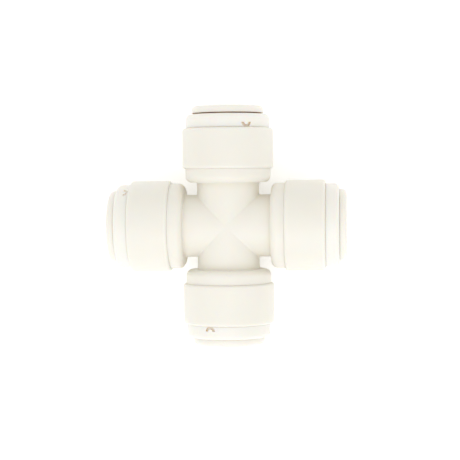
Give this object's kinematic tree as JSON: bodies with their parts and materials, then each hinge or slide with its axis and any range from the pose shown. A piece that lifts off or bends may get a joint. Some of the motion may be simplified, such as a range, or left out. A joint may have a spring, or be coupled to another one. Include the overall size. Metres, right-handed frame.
{
  "type": "push-fit cross fitting",
  "caption": "White plastic push-fit equal cross for small water tube, with a collet, O-ring and snap-in cap in each socket.",
  "frame": {"origin": "the point where the axes of the two waterways cross, at the middle of the fitting", "axes": "+X along the east port's axis and +Y along the north port's axis, both pointing out of the mouth; +Z square to the plane of the ports"},
  "size_m": [0.0484, 0.0486, 0.0186],
  "materials": {
    "body": "moulded acetal, fine satin",
    "cap": "moulded acetal, fine satin",
    "collet": "moulded acetal, smooth",
    "washer": "moulded, matt",
    "seal": "greased EPDM",
    "steel": "stamped stainless steel"
  },
  "bodies": {
    "fitting": {"body": "body", "cap_north": "cap", "o_ring_north": "seal", "backup_washer_north": "washer", "cap_east": "cap", "o_ring_east": "seal", "backup_washer_east": "washer", "cap_south": "cap", "o_ring_south": "seal", "backup_washer_south": "washer", "cap_west": "cap", "o_ring_west": "seal", "backup_washer_west": "washer"},
    "collet_north": {"collet_north": "collet", "tooth_north_1": "steel", "tooth_north_2": "steel", "tooth_north_3": "steel", "tooth_north_4": "steel", "tooth_north_5": "steel", "tooth_north_6": "steel"},
    "collet_east": {"collet_east": "collet", "tooth_east_1": "steel", "tooth_east_2": "steel", "tooth_east_3": "steel", "tooth_east_4": "steel", "tooth_east_5": "steel", "tooth_east_6": "steel"},
    "collet_south": {"collet_south": "collet", "tooth_south_1": "steel", "tooth_south_2": "steel", "tooth_south_3": "steel", "tooth_south_4": "steel", "tooth_south_5": "steel", "tooth_south_6": "steel"},
    "collet_west": {"collet_west": "collet", "tooth_west_1": "steel", "tooth_west_2": "steel", "tooth_west_3": "steel", "tooth_west_4": "steel", "tooth_west_5": "steel", "tooth_west_6": "steel"}
  },
  "joints": [
    {"name": "collet_slide_north", "type": "slide", "parent": "fitting", "child": "collet_north", "axis": [0, 1, 0], "range_m": [-0.00024, 0.00131]},
    {"name": "collet_slide_east", "type": "slide", "parent": "fitting", "child": "collet_east", "axis": [1, 0, 0], "range_m": [-0.00002, 0.00153]},
    {"name": "collet_slide_south", "type": "slide", "parent": "fitting", "child": "collet_south", "axis": [0, -1, 0], "range_m": [-0.00005, 0.0015]},
    {"name": "collet_slide_west", "type": "slide", "parent": "fitting", "child": "collet_west", "axis": [-1, 0, 0], "range_m": [-0.00008, 0.00147]}
  ]
}
